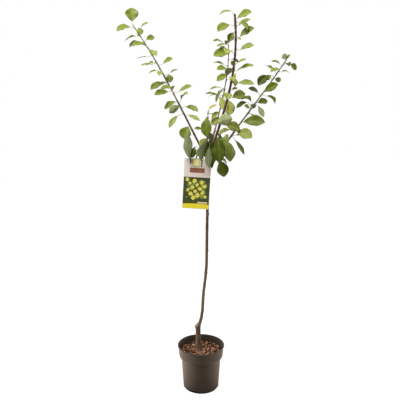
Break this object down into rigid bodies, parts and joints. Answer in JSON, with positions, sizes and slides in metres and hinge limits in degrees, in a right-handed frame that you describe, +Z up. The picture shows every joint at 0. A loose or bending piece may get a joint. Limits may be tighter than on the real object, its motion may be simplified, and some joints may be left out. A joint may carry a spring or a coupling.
{
  "type": "potted gage plum tree",
  "caption": "Young gage plum tree with a grafted stem, long leafy shoots in an open vase shape and a hanging label, in a round nursery pot.",
  "frame": {"origin": "middle of the pot's flat underside", "axes": "+Z up, +X to the right as the picture shows the tree, -Y towards the viewer"},
  "size_m": [0.7768, 0.3259, 1.746],
  "materials": {
    "pot": "satin",
    "soil": "matte",
    "trunk": "matte",
    "bough": "satin",
    "foliage": "satin",
    "label": "satin",
    "strap": "satin"
  },
  "bodies": {
    "root": {"pot": "pot", "soil": "soil", "trunk": "trunk", "bough_left": "bough", "bough_leader": "bough", "bough_inner": "bough", "bough_right": "bough", "foliage_left": "foliage", "foliage_leader": "foliage", "foliage_inner": "foliage", "foliage_right": "foliage", "foliage_front": "foliage", "foliage_lower_left": "foliage", "foliage_lower_right": "foliage", "foliage_back": "foliage", "label_card": "label", "label_strap": "strap"}
  },
  "joints": []
}
